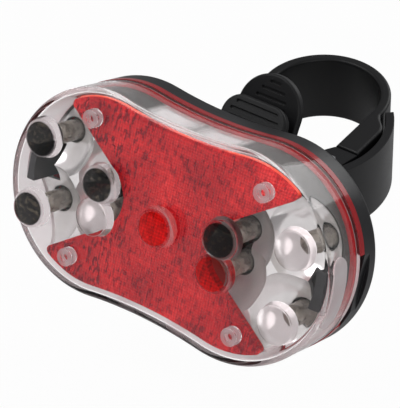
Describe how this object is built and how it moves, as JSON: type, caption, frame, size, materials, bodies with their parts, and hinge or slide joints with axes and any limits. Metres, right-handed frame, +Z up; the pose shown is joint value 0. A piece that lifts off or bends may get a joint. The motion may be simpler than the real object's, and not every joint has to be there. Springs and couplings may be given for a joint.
{
  "type": "bicycle rear light with seat post clamp",
  "caption": "Wide red bicycle rear light with a clear cover over a butterfly-shaped reflector and diode bosses, on a tilting quick-release bracket with a ratchet strap clamp for a seat post.",
  "frame": {"origin": "centre of the clamp's bore, on the axis of the seat post", "axes": "+X along the light's long side, to the right seen from in front of the lamp; -Y the way the lamp shines; +Z up"},
  "size_m": [0.087, 0.0866, 0.0543],
  "materials": {
    "clear_plastic": "clear polished",
    "red_lens": "transparent red, corner-cube back",
    "red_plastic": "gloss",
    "clear_led": "clear epoxy",
    "chromed_plastic": "vacuum metallised",
    "black_plastic": "satin moulded",
    "rubber": "matte",
    "board": "black solder mask",
    "screw_steel": "zinc plated",
    "cell": "plain sleeve",
    "contact_metal": "nickel plated"
  },
  "bodies": {
    "clamp": {"clamp_base": "black_plastic", "saddle_pad": "rubber", "clamp_strap": "black_plastic", "strap_pin": "screw_steel", "pawl_pin": "screw_steel", "tilt_screw": "screw_steel", "tilt_nut": "screw_steel"},
    "light": {"front_cover": "clear_plastic", "red_reflector": "red_lens", "chrome_reflector": "chromed_plastic", "red_frame": "red_plastic", "housing_gasket": "rubber", "rear_housing": "black_plastic", "led_board": "board", "board_screws": "screw_steel", "tact_switch": "black_plastic", "battery_upper": "cell", "battery_lower": "cell", "contact_right": "contact_metal", "contact_left": "contact_metal", "mounting_shoe": "black_plastic", "shoe_screws": "screw_steel", "bracket_plate": "black_plastic", "lever_pin": "screw_steel", "led_1": "clear_led", "led_2": "clear_led", "led_3": "clear_led", "led_4": "clear_led", "led_5": "clear_led", "led_6": "clear_led", "led_7": "clear_led", "led_8": "clear_led", "led_9": "clear_led"},
    "latch": {"latch_lever": "black_plastic", "lever_spring": "screw_steel"},
    "pawl": {"strap_pawl": "black_plastic", "pawl_spring": "screw_steel"},
    "button": {"power_button": "rubber"}
  },
  "joints": [
    {"name": "tilt", "type": "hinge", "parent": "clamp", "child": "light", "pos_m": [0, -0.0246, -0.0196], "axis": [1, 0, 0], "range_deg": [-3, 20]},
    {"name": "latch_release", "type": "hinge", "parent": "light", "child": "latch", "pos_m": [0, -0.0294, -0.0121], "axis": [-1, 0, 0], "range_deg": [0, 5.5], "stiffness_Nm_per_rad": 0.06, "springref_deg": -14.32},
    {"name": "pawl_release", "type": "hinge", "parent": "clamp", "child": "pawl", "pos_m": [-0.0206, -0.0104, -0.00876], "axis": [0, 0.3907, -0.9205], "range_deg": [0, 10], "stiffness_Nm_per_rad": 0.02, "springref_deg": -17.19},
    {"name": "power_press", "type": "slide", "parent": "light", "child": "button", "axis": [0, -1, 0], "range_m": [0, 0.0008], "stiffness_N_per_m": 600, "springref_m": -0.001}
  ]
}
